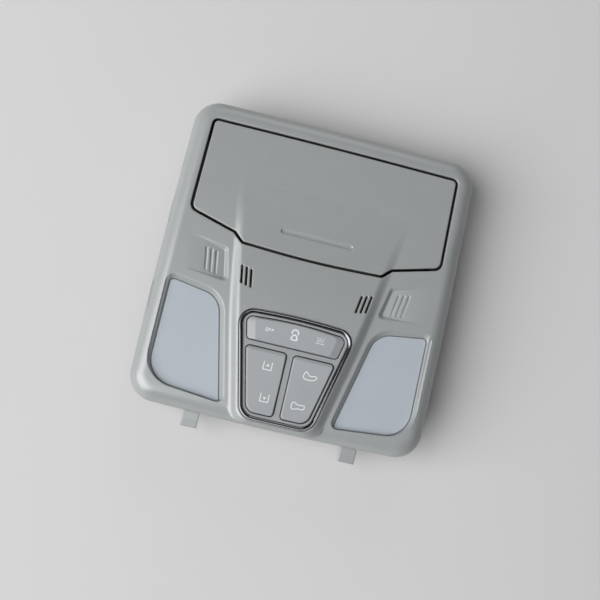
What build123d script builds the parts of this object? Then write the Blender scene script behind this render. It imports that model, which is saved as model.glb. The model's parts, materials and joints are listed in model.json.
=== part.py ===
from build123d import *
from math import acos, atan, cos, pi, radians, sin, sqrt, tan
import os

# Overhead console of a car roof: two map lamps, a dome light rocker, two roof-panel rockers and
# a damped bin for sunglasses. Millimetres. X runs to the right, Y towards the hinge of the bin's
# door and Z out of the headliner into the cabin. The origin is the middle of the rim's rear face.

# Console outline and section
half_width = 100.0
half_length = 104.5
outline_bow = 1.3
foot_bow = 2.3
bow_share = 0.55
corner_round = 18.0
rim_round = 11.0
face_z = 15.0
wall = 2.5
sharp_round = 0.4

# Raised middle: it tapers along ridge_x(y), its flank falls in a half wave and wraps round the lower
# end, and its rise fades out from above the switches to the middle of the door
plateau_rise = 4.5
ridge_margin = 48.4
ridge_cant = 0.232
ridge_band = 7.5
ridge_shift = 1.0
ridge_drift = 4.0
ridge_sink = 0.05
ridge_step_count = 8
ridge_foot_gap = 0.6
ridge_foot_band = 2.2
ridge_foot_round = 9.0
fade_drop = 60.0
fade_rise = 50.0
fade_step_count = 6
fade_tail_share = 0.012

# Door of the bin
door_end_margin = 15.8
door_side_margin = 15.2
door_length = 78.7
door_lean = 0.5
door_bow = 0.7
door_flank_rise = 16.7
door_step_high = 8.1
door_step_low = 2.1
door_step_outer = 2.1
door_step_inner = 7.1
door_gap = 2.0
door_corner_round = 2.5
door_flank_round = 4.5
door_step_round = 1.5
door_flange = 2.0
door_flange_drop = 2.0
door_flange_notch = 7.0
finger_groove_half = 24.6
finger_groove_rise = 15.2
finger_groove_width = 2.8
finger_groove_depth = 0.7

# Hinge of the door
hinge_inset = 16.0
hinge_depth = 5.5
hinge_pin_radius = 1.5
hinge_play = 0.05
pin_seat_play = 0.02
hinge_lug_clearance = 0.3
swing_clearance = 0.4

# Bin behind the door
tub_side_margin = 10.8
tub_radius = 45.5
tub_end_reach = 10.0
tub_mouth_z = -19.0
tub_wall = 2.0
tub_door_gap = 1.0
tub_hub_radius = 2.8
tub_hub_gap = 0.4
liner_thickness = 0.8
liner_margin = 2.0
door_boss_radius = 2.6
door_boss_inset = 5.0
door_boss_end_inset = 7.5

# Gears of the door damper
gear_module = 0.8
sector_teeth = 36
sector_cut_teeth = 10
pinion_teeth = 12
gear_addendum = 0.75
gear_dedendum = 1.05
gear_pressure_angle = 20.0
gear_backlash = 0.10
gear_width = 3.0
gear_side_gap = 0.5
mesh_direction = 225.0

# Rotary damper
damper_radius = 8.0
damper_thickness = 6.0
damper_ear_reach = 10.5
damper_ear_radius = 2.8
damper_ear_thickness = 2.0
damper_shaft_radius = 1.5

# Push-push latch of the door
latch_half_width = 7.0
latch_tub_gap = 1.7
latch_wall = 1.8
latch_top_z = 5.0
latch_bottom_z = -10.0
latch_flange_half = 13.0
latch_flange_thickness = 2.0
latch_screw_x = 10.0
latch_screw_z = -3.0
plunger_play = 0.4
plunger_top_z = 7.0
plunger_travel = 2.5
striker_half = 1.8
striker_gap = 0.3
jaw_height = 3.0

# Rubber stops of the door
bumper_x = 30.0
bumper_offset = 6.5
bumper_radius = 2.2
bumper_height = 3.0
bumper_gap = 0.3

# Map lamp lenses and their pockets
lens_side_margin = 12.0
lens_end_margin = 10.0
lens_length = 73.0
lens_top_fall = 5.3
lens_bottom_rise = 4.8
lens_ridge_gap = 8.3
lens_top_round = 15.0
lens_bottom_round = 18.0
lens_corner_round = 1.5
lens_tip_round = 3.0
lens_drop = 3.0
lens_plate = 2.0
lens_gap = 0.35
lens_bevel = 0.4
lens_flange = 1.2
lens_flange_thickness = 1.5
lens_flange_play = 0.5
lens_stop_gap = 0.6
lens_skirt = 2.8
pocket_slope = 45.0
pocket_reach = 8.0
lens_pivot_rise = 14.5
lens_pivot_radius = 1.0
lens_pivot_play = 0.05
lens_pivot_reach = 2.0
lens_press_angle = 1.3
lens_leg_drop = 6.0
lens_leg_inset = 13.0
lens_leg = 4.0

# Finger scoops beside the lenses
scoop_inner_gap = 3.1
scoop_side_margin = 17.4
scoop_drop = 27.0
scoop_length = 22.7
scoop_slant = 0.16
scoop_low_slant = 0.113
scoop_depth = 3.2
scoop_skin = 2.4
scoop_round = 2.0
groove_count = 3
groove_pitch = 3.5
groove_wall_gap = 7.9
groove_radius = 1.0
groove_depth = 0.5
groove_length = 15.5
groove_cant = 0.17

# Microphones and their slots
slot_count = 3
slot_pitch = 3.25
slot_ridge_gap = 9.25
slot_drop = 20.3
slot_stagger = 0.22
slot_length = 12.6
slot_width = 1.5
mic_radius = 4.7
mic_height = 5.0
boot_radius = 6.1
boot_floor = 1.2
collar_wall = 1.5
collar_play = 0.1
cloth_thickness = 0.4

# Switch cluster
cluster_end_margin = 3.4
cluster_length = 73.1
cluster_ridge_gap = 4.1
cluster_bow = 2.3
cluster_top_round = 10.0
cluster_bottom_round = 11.5
ring_gap = 0.3
ring_band = 2.8
ring_proud = 0.8
ring_outer_round = 0.5
ring_inner_round = 1.8
fascia_drop = 0.6
fascia_play = 0.05
key_inset = 5.0
key_foot_inset = 5.3
key_ridge_gap = 9.2
dome_key_ridge_gap = 9.9
key_gap = 0.6
key_round = 2.4
dome_key_round = 4.0
key_foot_round = 7.0
dome_key_length = 16.8
key_web = 4.1
roof_key_web = 4.8
key_proud = 0.8
key_edge_drop = 1.5
key_bevel = 0.8
dome_flank = 4.5
roof_key_sag = 0.5
roof_key_crest = 2.4
roof_key_crest_drop = 0.9
key_skirt = 2.6
key_axis_drop = 3.2
key_axle_radius = 1.25
key_axle_play = 0.05
key_axle_bite = 1.1
key_hub = 3.0
housing_room = 1.2
housing_gap = 0.6
housing_floor = 1.5
housing_tongue_half = 18.0
housing_tongue = 3.5
housing_tongue_thickness = 2.0
housing_tongue_gap = 0.3
housing_foot = 4.0
dome_key_angle = 4.0
roof_key_angle = 3.5
dome_leg_reach = 20.0
roof_leg_reach = 12.0
key_leg = 3.0
leg_room = 1.0
leg_gap = 0.3

# Circuit board and what it carries
board_z = -2.0
board_thickness = 1.6
board_play = 0.3
switch_body = 6.0
switch_body_height = 2.5
switch_stem_radius = 1.6
switch_stem_height = 0.7
led_size = 5.0
led_height = 1.6
chip_size = 12.0
chip_height = 1.8
chip_drop = 22.0
reflector_inset = 9.0
reflector_wall = 1.5
reflector_slope = 20.0
header_rise = 32.0
header_width = 27.0
header_depth = 13.0
header_wall = 1.6
header_proud = 1.5
header_floor = 2.5
pin_count = 6
pin_pitch = 3.6
pin_size = 0.8
pin_reach = 4.0
header_window_play = 0.4

# Rear carrier: the bin's well and the board's bay
seat_z = 3.0
carrier_wall = 2.2
well_side_room = 6.8
well_end_room = 1.0
well_top_z = 9.0
well_floor_room = 3.8
well_round = 4.0
well_rib = 1.6
well_rib_height = 2.0
cheek_gap = 0.6
bay_side_margin = 8.0
bay_end_margin = 10.5
bay_round = 16.0
bay_depth = 8.4
bay_ledge = 2.0
cover_thickness = 2.0
cover_boss_radius = 3.2
cover_boss_rise = 24.0
cover_boss_drop = 16.0
vent_count = 5
vent_pitch = 6.0
vent_length = 26.0
vent_width = 2.2
vent_margin = 34.0
vent_rise = 44.0

# Fastenings
post_radius = 3.0
post_margin = 8.5
side_post_rise = 8.0
end_post_side = 40.0
end_post_margin = 8.0
foot_post_side = 32.0
foot_post_margin = 7.0
ear_rim = 0.6
ear_thickness = 2.5
screw_radius = 1.4
screw_play = 0.05
screw_head_radius = 2.6
screw_head_height = 1.8
screw_bite = 5.5
small_screw_radius = 1.0
small_screw_head_radius = 1.9
small_screw_head_height = 1.3

# Hook tabs and spring clips that hold the console in the roof
tab_side_margin = 40.3
tab_width = 11.2
tab_reach = 9.9
tab_thickness = 2.5
tab_headliner = 3.0
tab_lead = 6.0
tab_lead_drop = 1.4
tab_root = 2.0
tab_root_height = 6.0
clip_x = 30.0
clip_width = 12.0
clip_sheet = 0.8
clip_drop = 24.0
clip_bulge = 6.0
clip_bend = 1.8
clip_hook = 4.0

# Places that follow from the sizes above
plateau_z = face_z + plateau_rise
plateau_inner_z = plateau_z - wall
ridge_offset = half_width - ridge_margin
door_top = half_length - door_end_margin
door_bottom = door_top - door_length
door_half_width = half_width - door_side_margin
fade_low_y = door_bottom - fade_drop
fade_high_y = door_bottom + fade_rise
hinge_y = door_top - hinge_inset
hinge_z = face_z - hinge_depth
swing_radius = hinge_inset - door_bow + door_gap - swing_clearance
lug_radius = hinge_depth - wall - hinge_lug_clearance
tub_half_width = door_half_width - tub_side_margin
tub_top_z = face_z - wall - tub_door_gap
tub_end_y = hinge_y + tub_end_reach
tub_floor_z = tub_top_z - tub_wall
well_half_width = tub_half_width + well_side_room
well_outer_x = well_half_width + carrier_wall
well_low_y = door_bottom
well_end_y = hinge_y + swing_radius + well_end_room
well_floor_z = tub_mouth_z - well_floor_room
cheek_inner_x = door_half_width + door_lean + cheek_gap
cheek_outer_x = cheek_inner_x + carrier_wall
swing_room = swing_radius + swing_clearance
pinion_offset = gear_module * (sector_teeth + pinion_teeth) / 2
pinion_y = hinge_y + pinion_offset * cos(radians(mesh_direction))
pinion_z = hinge_z + pinion_offset * sin(radians(mesh_direction))
pinion_x = tub_half_width + gear_side_gap
lens_z = face_z - lens_drop
lens_flange_z = lens_z - lens_plate
lens_back_z = lens_flange_z - lens_flange_thickness
lens_lip_z = lens_flange_z + lens_stop_gap
lens_outer_x = half_width - lens_side_margin
lens_bottom_y = lens_end_margin - half_length
lens_top_y = lens_bottom_y + lens_length
lens_pivot_y = lens_bottom_y + lens_pivot_rise
lens_pivot_z = lens_flange_z - lens_flange_thickness / 2
lens_leg_x = lens_outer_x - lens_leg_inset
lens_leg_y = lens_top_y - lens_leg_drop
cluster_bottom = cluster_end_margin - half_length
cluster_top = cluster_bottom + cluster_length
dome_key_top = cluster_top - key_inset
dome_key_bottom = dome_key_top - dome_key_length
roof_key_top = dome_key_bottom - key_web
roof_key_bottom = cluster_bottom + key_foot_inset
roof_key_mid = (roof_key_top + roof_key_bottom) / 2
dome_key_mid = (dome_key_top + dome_key_bottom) / 2
fascia_z = plateau_z - fascia_drop
key_top_z = plateau_z + key_proud
key_base_z = plateau_inner_z - key_skirt
key_axis_z = plateau_inner_z - key_axis_drop
board_back_z = board_z - board_thickness
switch_top_z = board_z + switch_body_height + switch_stem_height
cover_z = board_back_z - bay_depth
bay_half_width = half_width - bay_side_margin
bay_low_y = bay_end_margin - half_length
bay_high_y = well_low_y
cover_boss_x = bay_half_width - carrier_wall - cover_boss_radius
cover_boss_ys = (bay_low_y + cover_boss_rise, bay_high_y - cover_boss_drop)
header_y = bay_low_y + header_rise
chip_y = bay_high_y - chip_drop
vent_x = bay_half_width - vent_margin
vent_y = bay_low_y + vent_rise
latch_wall_y = well_low_y + carrier_wall
latch_front_y = latch_wall_y + latch_flange_thickness
latch_length = hinge_y - tub_radius - latch_tub_gap - latch_front_y
latch_mid_y = latch_front_y + latch_length / 2
foot_post_y = foot_post_margin - half_length
end_post_y = half_length - end_post_margin
post_spots = [
    (side * x, y)
    for side in (-1, 1)
    for x, y in (
        (half_width - post_margin, door_bottom + side_post_rise),
        (half_width - end_post_side, end_post_y),
        (half_width - foot_post_side, foot_post_y),
    )
]
door_boss_x = tub_half_width - door_boss_inset
door_boss_ys = (hinge_y - tub_radius + door_boss_end_inset, tub_end_y - tub_wall - door_boss_radius)
collar_radius = boot_radius + collar_play + collar_wall
scoop_outer_x = half_width - scoop_side_margin
scoop_low_y = door_bottom - scoop_drop
slot_y = door_bottom - slot_drop
LOW = (Align.CENTER, Align.CENTER, Align.MIN)


def ridge_x(y):
    """Half-width between the lines that the raised middle and the openings beside it follow."""
    return ridge_offset + ridge_cant * y


def rise_share(y):
    """Share of the plateau's rise that is left at y."""
    part = (y - fade_low_y) / (fade_high_y - fade_low_y)
    return (1 + cos(pi * min(max(part, 0), 1))) / 2


def plateau_height(y):
    return face_z + plateau_rise * rise_share(y)


mic_x = ridge_x(slot_y) - slot_ridge_gap
mic_top_z = plateau_height(slot_y + boot_radius) - wall


# Basic shapes


def block(x0, x1, y0, y1, z0, z1):
    """Box between two opposite corners."""
    return Pos((x0 + x1) / 2, (y0 + y1) / 2, (z0 + z1) / 2) * Box(x1 - x0, y1 - y0, z1 - z0)


def slab(face, z0, z1):
    """Straight prism of a face drawn in X and Y."""
    return extrude(Pos(0, 0, z0) * face, z1 - z0)


def frustum(low_face, high_face, z0, z1):
    """Sloped prism between two faces of like outline."""
    return loft([Pos(0, 0, z0) * low_face, Pos(0, 0, z1) * high_face], ruled=True)


def prism_x(face, x0, x1):
    """Straight prism along X of a face drawn in Y and Z."""
    return extrude(Plane.YZ.offset(x0) * face, x1 - x0)


def rod_x(y, z, x0, x1, radius):
    return Pos(x0, y, z) * Rot(0, 90, 0) * Cylinder(radius, x1 - x0, align=LOW)


def rod_y(x, z, y0, y1, radius):
    return Pos(x, y0, z) * Rot(-90, 0, 0) * Cylinder(radius, y1 - y0, align=LOW)


def rod_z(x, y, z0, z1, radius):
    return Pos(x, y, z0) * Cylinder(radius, z1 - z0, align=LOW)


def toward_free_end(y):
    """Half-space below y, as a block larger than the console."""
    far = 2 * (half_length + half_width)
    return block(-far, far, -far, y, -far, far)


def mirrored(shape):
    return mirror(shape, about=Plane.YZ)


def both_sides(shape):
    """A shape and its mirror image on the other side of the centre line."""
    return shape + mirrored(shape)


def rounded_face(corners, inset=0.0):
    """Face through (x, y, radius) corners in anticlockwise order, each side moved in by inset."""
    arcs = []
    for i, (x, y, radius) in enumerate(corners):
        here = Vector(x, y)
        back = (Vector(*corners[i - 1][:2]) - here).normalized()
        ahead = (Vector(*corners[(i + 1) % len(corners)][:2]) - here).normalized()
        half = radians(back.get_angle(ahead)) / 2
        side = 1 if ahead.cross(back).Z > 0 else -1
        inward = (back + ahead).normalized()
        here = here + inward * (side * inset / sin(half))
        radius = max(radius - side * inset, sharp_round)
        reach = radius / tan(half)
        middle = here + inward * (radius / sin(half) - radius)
        arcs.append((here + back * reach, middle, here + ahead * reach))
    edges = []
    for i, (start, middle, end) in enumerate(arcs):
        edges.append(ThreePointArc(start, middle, end))
        edges.append(Line(end, arcs[(i + 1) % len(arcs)][0]))
    return make_face(edges)


def bow_round(half, bow):
    """Radius that rounds the middle of a side, half long each way, which bows out by bow."""
    return bow_share * half**2 / bow


def screw_z(x, y, z, reach, radius, head_radius, head_height):
    """Screw driven towards +Z, with its head's seat at z."""
    return rod_z(x, y, z - head_height, z, head_radius) + rod_z(x, y, z, z + reach, radius)


# Outlines


def console_outline(inset):
    x, y = half_width, half_length
    low_x, low_y = x - outline_bow, y - outline_bow
    side_round = bow_round(low_y, outline_bow)
    return rounded_face(
        [
            (-low_x, -low_y, corner_round),
            (0, -low_y - foot_bow, bow_round(low_x, foot_bow)),
            (low_x, -low_y, corner_round),
            (x, 0, side_round),
            (low_x, low_y, corner_round),
            (0, y, bow_round(low_x, outline_bow)),
            (-low_x, low_y, corner_round),
            (-x, 0, side_round),
        ],
        inset,
    )


def door_outline(inset):
    high_y = door_bottom + door_step_high
    low_y = door_bottom + door_step_low
    half = [
        (ridge_x(low_y) - door_step_inner, low_y, door_step_round),
        (ridge_x(high_y) - door_step_outer, high_y, door_step_round),
        (door_half_width + door_lean, door_bottom + door_flank_rise, door_flank_round),
        (door_half_width - door_lean, door_top - door_bow, door_corner_round),
    ]
    other = [(-x, y, radius) for x, y, radius in reversed(half)]
    crown = [(0, door_top, bow_round(door_half_width, door_bow))]
    foot = [(0, door_bottom, bow_round(half[0][0], door_step_low))]
    return rounded_face(foot + half + crown + other, inset)


def lens_outline(inset, foot_lift=0.0):
    """Right-hand lens; foot_lift moves its lower side up."""
    inner_top_y = lens_top_y - lens_top_fall
    low_y = lens_bottom_y + foot_lift
    return rounded_face(
        [
            (ridge_x(low_y) + lens_ridge_gap, low_y, lens_corner_round),
            (lens_outer_x, low_y + lens_bottom_rise, lens_bottom_round),
            (lens_outer_x, lens_top_y, lens_tip_round),
            (ridge_x(inner_top_y) + lens_ridge_gap, inner_top_y, lens_top_round),
        ],
        inset,
    )


def crowned_outline(bottom, top, gap, low_round, high_round, inset):
    """Outline between the ridges whose upper edge bows upwards."""
    high_y = top - cluster_bow
    low_x, high_x = ridge_x(bottom) - gap, ridge_x(high_y) - gap
    return rounded_face(
        [
            (-low_x, bottom, low_round),
            (low_x, bottom, low_round),
            (high_x, high_y, high_round),
            (0, top, bow_round(high_x, cluster_bow)),
            (-high_x, high_y, high_round),
        ],
        inset,
    )


def cluster_outline(inset):
    return crowned_outline(
        cluster_bottom, cluster_top, cluster_ridge_gap, cluster_bottom_round, cluster_top_round, inset
    )


def dome_key_outline(inset, flank=0.0):
    gap = dome_key_ridge_gap + flank
    return crowned_outline(dome_key_bottom, dome_key_top, gap, key_round, dome_key_round, inset)


def roof_key_outline(inset):
    """Right-hand roof key. Its foot's round is limited by the side that carries it."""
    inner_x = roof_key_web / 2
    foot_x = ridge_x(roof_key_bottom) - key_ridge_gap
    foot_round = min(key_foot_round, foot_x - inner_x - key_round)
    return rounded_face(
        [
            (inner_x, roof_key_bottom, key_round),
            (foot_x, roof_key_bottom, foot_round),
            (ridge_x(roof_key_top) - key_ridge_gap, roof_key_top, key_round),
            (inner_x, roof_key_top, key_round),
        ],
        inset,
    )


def scoop_outline(inset):
    """Right-hand finger scoop, at the face."""
    high_y = scoop_low_y + scoop_length
    low_x, high_x = ridge_x(scoop_low_y) + scoop_inner_gap, ridge_x(high_y) + scoop_inner_gap
    return rounded_face(
        [
            (low_x, scoop_low_y, scoop_round),
            (scoop_outer_x, scoop_low_y + scoop_low_slant * (scoop_outer_x - low_x), scoop_round),
            (scoop_outer_x, high_y + scoop_slant * (scoop_outer_x - high_x), scoop_round),
            (high_x, high_y, scoop_round),
        ],
        inset,
    )


def bay_outline(inset):
    x = bay_half_width
    return rounded_face(
        [
            (-x, bay_low_y, bay_round),
            (x, bay_low_y, bay_round),
            (x, bay_high_y + carrier_wall, well_round),
            (-x, bay_high_y + carrier_wall, well_round),
        ],
        inset,
    )


def well_outline(inset):
    x = well_outer_x
    low_y, high_y = well_low_y, well_end_y + carrier_wall
    return rounded_face(
        [
            (-x, low_y, well_round),
            (x, low_y, well_round),
            (x, high_y, well_round),
            (-x, high_y, well_round),
        ],
        inset,
    )


# Outer form shared by the bezel and the door


def flank_points(y, inset):
    """Flank of the raised middle at y, from its top to its foot, as x and z."""
    rise = plateau_rise * rise_share(y)
    fall = rise + ridge_sink
    steepest = atan(fall / ridge_band * pi / 2)
    drift = ridge_shift + ridge_drift * (1 - rise_share(y))
    middle = ridge_x(y) - drift - inset * tan(steepest / 2)
    points = []
    for i in range(ridge_step_count + 1):
        part = i / ridge_step_count
        x = middle + ridge_band * (part - 0.5)
        z = face_z + rise - inset - fall * (1 - cos(pi * part)) / 2
        points.append((x, z))
    return points


def ridge_section(y, inset):
    """Section of the raised middle at y."""
    right = flank_points(y, inset)
    left = [(-x, z) for x, z in reversed(right)]
    foot_x = right[-1][0]
    root_z = wall - inset
    edge = Polyline(*left, *right, (foot_x, root_z), (-foot_x, root_z), close=True)
    plane = Plane(origin=(0, y, 0), x_dir=(1, 0, 0), z_dir=(0, -1, 0))
    return plane * make_face(edge)


def fading_ridge(inset):
    """Raised middle from where its rise starts to fade."""
    reach = acos(2 * fade_tail_share - 1) / pi * (fade_high_y - fade_low_y)
    ys = [fade_low_y + reach * i / fade_step_count for i in range(fade_step_count + 1)]
    return loft([ridge_section(y, inset) for y in ys])


def tongue_outline(gap, foot_y, foot_round):
    """Plan of the raised middle's lower end at one height, gap inside the ridge line."""
    high_y = fade_low_y + ridge_band
    low_x, high_x = ridge_x(foot_y) - gap, ridge_x(high_y) - gap
    return rounded_face(
        [
            (-low_x, foot_y, foot_round),
            (low_x, foot_y, foot_round),
            (high_x, high_y, sharp_round),
            (-high_x, high_y, sharp_round),
        ]
    )


def ridge_tongue(inset):
    """Lower end of the raised middle, whose flank wraps round its foot."""
    top_foot_y = cluster_bottom - ridge_foot_gap + inset
    levels = []
    for i, (x, z) in enumerate(flank_points(fade_low_y, inset)):
        spread = ridge_foot_band * i / ridge_step_count
        gap = ridge_x(fade_low_y) - x
        outline = tongue_outline(gap, top_foot_y - spread, ridge_foot_round - inset + spread)
        levels.append(Pos(0, 0, z) * outline)
    levels.append(Pos(0, 0, wall - inset) * outline)
    return loft(levels, ruled=True) & toward_free_end(fade_low_y)


def rounded_block(inset):
    """Console outline with its rim rounded over, from the headliner up."""
    body = slab(console_outline(inset), -inset, face_z - inset)
    return fillet(body.faces().sort_by(Axis.Z)[-1].edges(), rim_round - inset)


def console_form(inset):
    """Whole outer form, moved in by inset on every side but the rear."""
    return rounded_block(inset) + ridge_tongue(inset) + fading_ridge(inset)


outer_form = console_form(0)
core_form = console_form(wall / 2)
shell = outer_form - console_form(wall)
outer_top = plateau_z + rim_round


# Bezel


def lens_pocket():
    """Right-hand pocket: walls that slope to the lens on three sides, its opening and its flange's room."""
    spread = pocket_reach * tan(radians(pocket_slope))
    mouth = frustum(lens_outline(0), lens_outline(-spread, spread), lens_z, lens_z + pocket_reach)
    opening = slab(lens_outline(0), lens_lip_z, lens_z)
    room = slab(lens_outline(-lens_flange - lens_flange_play), 0, lens_lip_z)
    reach = lens_pivot_reach + lens_flange + lens_flange_play
    edge = ridge_x(lens_pivot_y) + lens_ridge_gap
    pivots = rod_x(
        lens_pivot_y, lens_pivot_z, edge - reach, lens_outer_x + reach, lens_pivot_radius + lens_pivot_play
    )
    return mouth + opening + room + pivots


def scoop_cut():
    """Right-hand scoop: a ramp that curves down from the face to the ridge, with grooves across it."""
    inner_x = ridge_x(scoop_low_y) + scoop_inner_gap
    run = scoop_outer_x - inner_x
    low_z = face_z - scoop_depth
    ramp_radius = (run**2 + scoop_depth**2) / (2 * scoop_depth)
    mouth = frustum(
        scoop_outline(scoop_depth), scoop_outline(-scoop_depth), low_z, face_z + scoop_depth
    )
    ramp = rod_y(scoop_outer_x, face_z - ramp_radius, -half_length, half_length, ramp_radius)
    beyond = block(scoop_outer_x, half_width, -half_length, half_length, 0, outer_top)
    cut = mouth - ramp - beyond
    mid_y = scoop_low_y + scoop_length / 2
    start_x = ridge_x(mid_y) + scoop_inner_gap + groove_wall_gap
    for i in range(groove_count):
        x = start_x + i * groove_pitch
        y = mid_y + i * groove_pitch * (scoop_slant + scoop_low_slant) / 2
        floor_z = face_z - ramp_radius + sqrt(ramp_radius**2 - (scoop_outer_x - x) ** 2)
        bar = Rot(90, 0, 0) * Cylinder(groove_radius, groove_length)
        turn = Rot(0, 0, -atan(groove_cant) * 180 / pi)
        cut += Pos(x, y, floor_z + groove_radius - groove_depth) * turn * bar
    return cut


def mic_slots():
    """Right-hand slots; each further out starts higher."""
    angle = 90 - atan(groove_cant) * 180 / pi
    slots = Part()
    for i in range(slot_count):
        offset = (i - (slot_count - 1) / 2) * slot_pitch
        place = Pos(mic_x + offset, slot_y + slot_stagger * offset)
        slot = place * Rot(0, 0, angle) * SlotOverall(slot_length, slot_width)
        slots += slab(slot, mic_top_z - wall, outer_top)
    return slots


def hook_tab():
    """Right-hand tab: a root inside the rear rim and a tongue, with a lead-in, under the headliner."""
    x1 = half_width - tab_side_margin
    x0 = x1 - tab_width
    rim_y = wall + outline_bow - half_length
    tongue_z = -tab_headliner
    root = block(x0, x1, rim_y - wall, rim_y + tab_root, ear_rim, tab_root_height) & core_form
    drop = block(x0, x1, rim_y, rim_y + tab_root, tongue_z - tab_thickness, ear_rim)
    tip_y = -half_length - tab_reach
    side = Polyline(
        (rim_y + tab_root, tongue_z),
        (tip_y + tab_lead, tongue_z),
        (tip_y, tongue_z - tab_lead_drop),
        (tip_y, tongue_z - tab_thickness),
        (rim_y + tab_root, tongue_z - tab_thickness),
        close=True,
    )
    return root + drop + prism_x(make_face(side), x0, x1)


def bezel():
    body = shell - slab(door_outline(-door_gap), -wall, outer_top)
    skirt = lens_outline(-lens_flange - lens_flange_play - lens_skirt)
    collar = rod_z(mic_x, slot_y, mic_top_z - mic_height - boot_floor, plateau_z, collar_radius)
    scoop_body = slab(scoop_outline(-scoop_skin), face_z - scoop_depth - scoop_skin, face_z)
    backing = both_sides(slab(skirt, seat_z, face_z) + scoop_body + collar)
    for x, y in post_spots:
        backing += rod_z(x, y, seat_z, face_z, post_radius)
    body += (backing & core_form) - slab(door_outline(-door_gap), -wall, outer_top)
    body += both_sides(hook_tab())
    boot_room = rod_z(mic_x, slot_y, 0, mic_top_z, boot_radius + collar_play)
    body -= both_sides(lens_pocket() + scoop_cut() + mic_slots() + boot_room)
    body -= slab(cluster_outline(0), seat_z, outer_top)
    for x, y in post_spots:
        body -= rod_z(x, y, 0, seat_z + screw_bite, screw_radius + screw_play)
    return body


# Door and bin


def door_panel():
    prism = slab(door_outline(0), 0, outer_top)
    flange_z = face_z - wall - door_flange_drop
    flange = slab(door_outline(0) - door_outline(door_flange), flange_z, outer_top) & core_form
    bosses = Part()
    for y in door_boss_ys:
        bosses += both_sides(rod_z(door_boss_x, y, tub_top_z, face_z, door_boss_radius))
    striker_z = plunger_top_z + striker_gap
    half = striker_half
    striker = block(-half, half, latch_mid_y - half, latch_mid_y + half, striker_z, outer_top)
    panel = (shell & prism) + flange + ((bosses + striker) & core_form)
    swing = rod_x(hinge_y, hinge_z, -half_width, half_width, swing_radius)
    panel = panel & (swing + toward_free_end(hinge_y))
    groove_y = door_bottom + finger_groove_rise
    groove = Pos(0, groove_y, 0) * SlotOverall(2 * finger_groove_half, finger_groove_width)
    panel -= slab(groove, face_z, plateau_z) - console_form(finger_groove_depth)
    low_y, high_y = hinge_y - door_flange_notch, hinge_y + door_flange_notch
    panel -= both_sides(block(tub_half_width, half_width, low_y, high_y, 0, face_z - wall))
    for y in door_boss_ys:
        hole = rod_z(door_boss_x, y, 0, tub_top_z + wall, small_screw_radius + screw_play)
        panel -= both_sides(hole)
    return panel


def tub_profile(inset, mouth_z):
    """Side view of the bin: its free end is an arc about the hinge."""
    radius = tub_radius - inset
    top_z = tub_top_z - inset
    top_dz, mouth_dz = top_z - hinge_z, mouth_z - hinge_z
    top_y = hinge_y - sqrt(radius**2 - top_dz**2)
    mouth_y = hinge_y - sqrt(radius**2 - mouth_dz**2)
    mid_dz = (top_dz + mouth_dz) / 2
    mid_y = hinge_y - sqrt(radius**2 - mid_dz**2)
    end_y = tub_end_y - inset
    return make_face(
        [
            ThreePointArc((top_y, top_z), (mid_y, hinge_z + mid_dz), (mouth_y, mouth_z)),
            Line((mouth_y, mouth_z), (end_y, mouth_z)),
            Line((end_y, mouth_z), (end_y, top_z)),
            Line((end_y, top_z), (top_y, top_z)),
        ]
    )


def glasses_tub():
    x = tub_half_width
    inner_x = x - tub_wall
    body = prism_x(tub_profile(0, tub_mouth_z), -x, x)
    body -= prism_x(tub_profile(tub_wall, tub_mouth_z - tub_wall), -inner_x, inner_x)
    hub_end = well_half_width - tub_hub_gap
    body += rod_x(hinge_y, hinge_z, x, hub_end, tub_hub_radius)
    body += rod_x(hinge_y, hinge_z, -hub_end, -x, tub_hub_radius)
    body += gear_prism(sector_face(), x, x + gear_side_gap + gear_width, hinge_y, hinge_z)
    body -= rod_x(hinge_y, hinge_z, -half_width, half_width, hinge_pin_radius + hinge_play)
    for y in door_boss_ys:
        hole = rod_z(door_boss_x, y, 0, tub_top_z, small_screw_radius + screw_play)
        body -= both_sides(hole)
    return body


def tub_liner():
    x = tub_half_width - tub_wall - liner_margin
    low_y = hinge_y - tub_radius + tub_wall + liner_margin
    high_y = tub_end_y - tub_wall - liner_margin
    pad = block(-x, x, low_y, high_y, tub_floor_z - liner_thickness, tub_floor_z)
    for y in door_boss_ys:
        recess = rod_z(door_boss_x, y, 0, tub_floor_z, small_screw_head_radius + liner_margin)
        pad -= both_sides(recess)
    return pad


def door_screws():
    reach = tub_wall + wall / 2
    screws = Part()
    for y in door_boss_ys:
        screws += both_sides(
            screw_z(
                door_boss_x,
                y,
                tub_floor_z,
                reach,
                small_screw_radius,
                small_screw_head_radius,
                small_screw_head_height,
            )
        )
    return screws


def hinge_pin():
    """Right-hand pin, from the well's outer face into the bin's side wall."""
    return rod_x(hinge_y, hinge_z, tub_half_width - tub_wall, well_outer_x, hinge_pin_radius)


# Damper and its gears


def flank_angles(teeth):
    """Radii of a tooth's flank from root to tip, each with the tooth's half-angle there."""
    pitch = gear_module * teeth / 2
    base = pitch * cos(radians(gear_pressure_angle))
    tip = pitch + gear_addendum * gear_module
    root = pitch - gear_dedendum * gear_module
    half_tooth = (pi * gear_module / 2 - gear_backlash) / (2 * pitch)

    def involute(radius):
        angle = acos(min(base / radius, 1))
        return tan(angle) - angle

    start = max(base, root)
    radii = [start, (start + tip) / 2, tip]
    flank = [(radius, half_tooth + involute(pitch) - involute(radius)) for radius in radii]
    return [(root, flank[0][1])] + flank if root < base else flank


def toothed_points(teeth, count, first):
    """Points of count teeth, the first at the angle first in degrees."""
    flank = flank_angles(teeth)
    points = []
    for i in range(count):
        middle = radians(first + i * 360 / teeth)
        sides = [(r, middle - a) for r, a in flank] + [(r, middle + a) for r, a in reversed(flank)]
        points += [(r * cos(angle), r * sin(angle)) for r, angle in sides]
    return points


def gear_prism(face, x0, x1, y, z):
    return Pos(0, y, z) * prism_x(face, x0, x1)


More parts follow.
